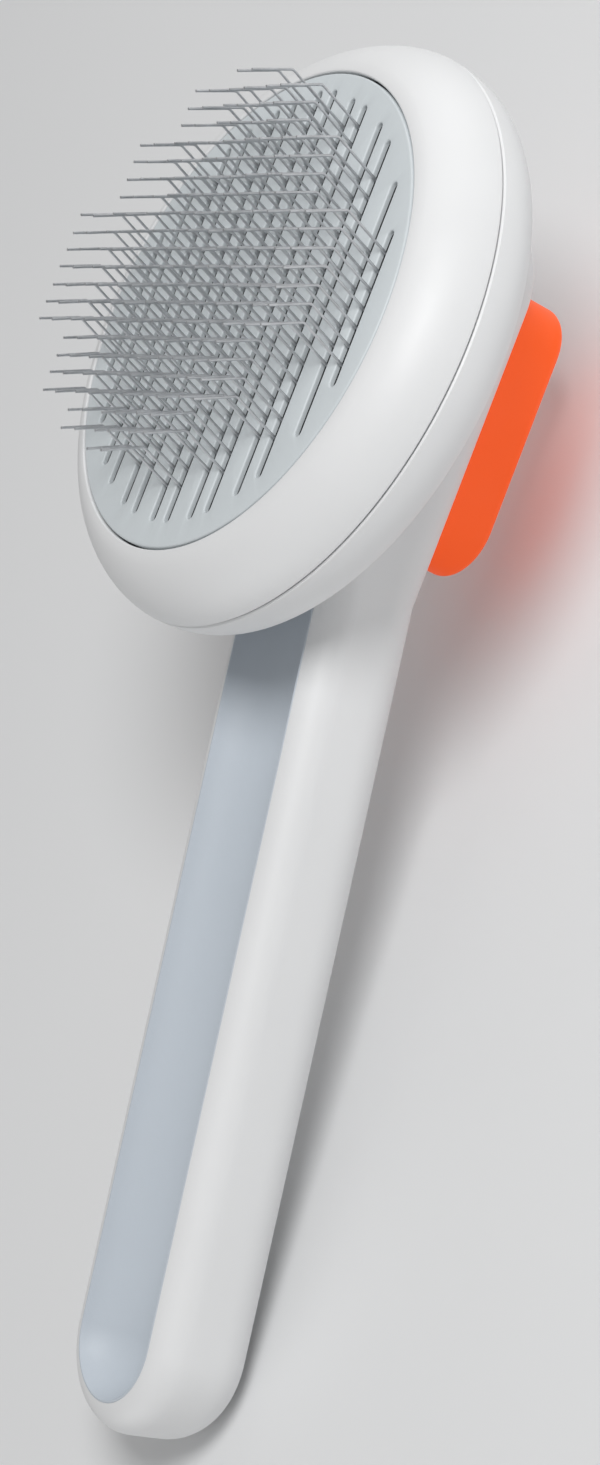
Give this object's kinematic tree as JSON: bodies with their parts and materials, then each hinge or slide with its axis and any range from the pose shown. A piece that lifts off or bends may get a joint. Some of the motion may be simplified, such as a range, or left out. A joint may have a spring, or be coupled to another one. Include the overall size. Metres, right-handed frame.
{
  "type": "slicker brush",
  "caption": "Self-cleaning slicker brush: round head with bent wire pins through a slotted sliding plate, thumb button behind the head, and a slim handle with a scooped grip insert.",
  "frame": {"origin": "centre of the brush's box on X and Y, at its lowest level in Z", "axes": "+X across the brush, +Y from the handle towards the top of the head, +Z along the plate's outward normal, the way the plate slides and the pins stand"},
  "size_m": [0.0926, 0.2052, 0.0762],
  "materials": {
    "shell": "satin white",
    "plate": "light cool grey",
    "grip": "soft grey-blue",
    "button": "satin orange",
    "inner": "plain moulded grey",
    "wire": "drawn stainless wire",
    "steel": "plain steel"
  },
  "bodies": {
    "brush_body": {"main_body": "shell", "front_ring": "shell", "grip_insert": "grip", "pin_bed": "inner", "staple_retainer": "inner", "bed_screws": "steel", "wire_row_1": "wire", "wire_row_2": "wire", "wire_row_3": "wire", "wire_row_4": "wire", "wire_row_5": "wire", "wire_row_6": "wire", "wire_row_7": "wire", "return_spring_1": "steel", "return_spring_2": "steel", "return_spring_3": "steel", "return_spring_4": "steel"},
    "cleaner": {"cleaning_plate": "plate", "push_frame": "inner", "push_button": "button", "frame_screws": "steel"}
  },
  "joints": [
    {"name": "cleaner_slide", "type": "slide", "parent": "brush_body", "child": "cleaner", "axis": [0, 0, 1], "range_m": [0, 0.0085], "stiffness_N_per_m": 1000, "springref_m": -0.002, "deforming": ["return_spring_1", "return_spring_2", "return_spring_3", "return_spring_4"]}
  ]
}
